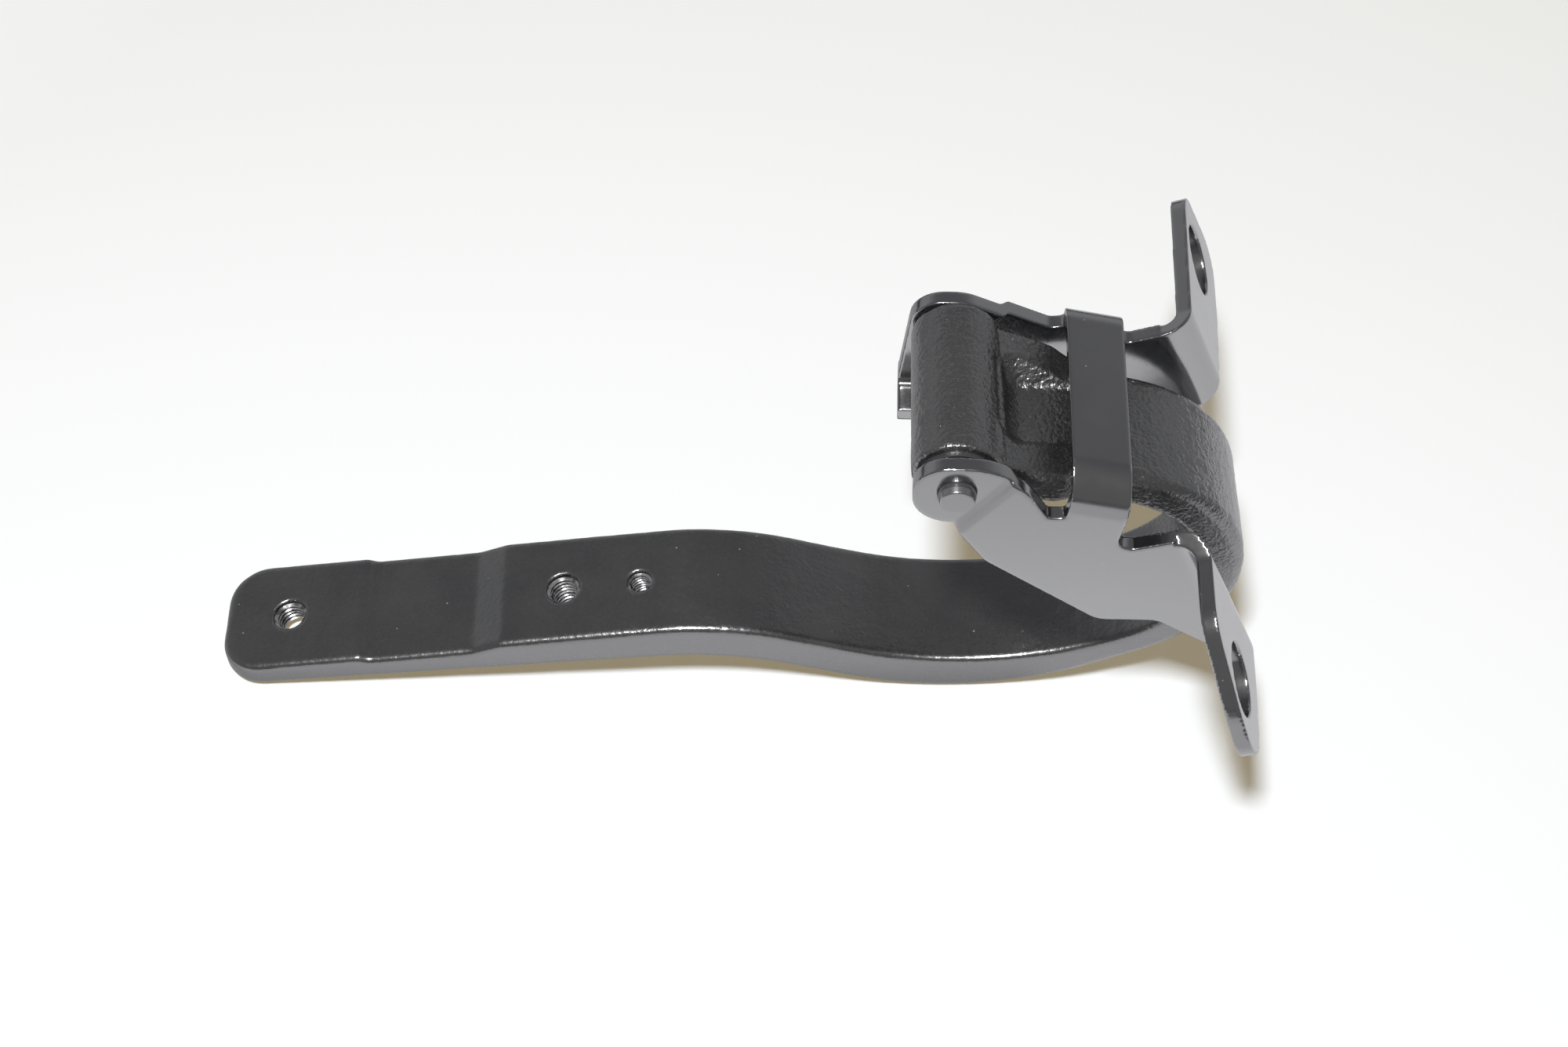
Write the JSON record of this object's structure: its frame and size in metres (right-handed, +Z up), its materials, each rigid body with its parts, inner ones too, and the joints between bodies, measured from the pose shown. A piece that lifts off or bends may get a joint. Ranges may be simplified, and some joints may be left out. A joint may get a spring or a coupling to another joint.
{
  "type": "boot lid hinge",
  "caption": "Gooseneck boot lid hinge: a forged arm with tapped strap pads swings on a pin between the ears of a pressed body bracket with bolt flanges.",
  "frame": {"origin": "middle of the footprint, on the surface that the hinge lies on with its strap down", "axes": "+X from the strap's free end towards the bracket, +Y along the hinge pin, +Z up"},
  "size_m": [0.2392, 0.129, 0.1025],
  "materials": {
    "forged_black": "satin black dip coat over a forged skin",
    "pressed_black": "satin black dip coat over smooth pressed sheet",
    "pin_black": "satin black coat over turned steel",
    "bush_grey": "dark grey sliding layer on a steel back"
  },
  "bodies": {
    "bracket": {"body_bracket": "pressed_black", "hinge_pin": "pin_black"},
    "arm": {"hinge_arm": "forged_black", "near_bush": "bush_grey", "far_bush": "bush_grey"}
  },
  "joints": [
    {"name": "lid_swing", "type": "hinge", "parent": "bracket", "child": "arm", "pos_m": [0.05105, -0.00405, 0.09287], "axis": [0, 1, 0], "range_deg": [-9, 66]}
  ]
}
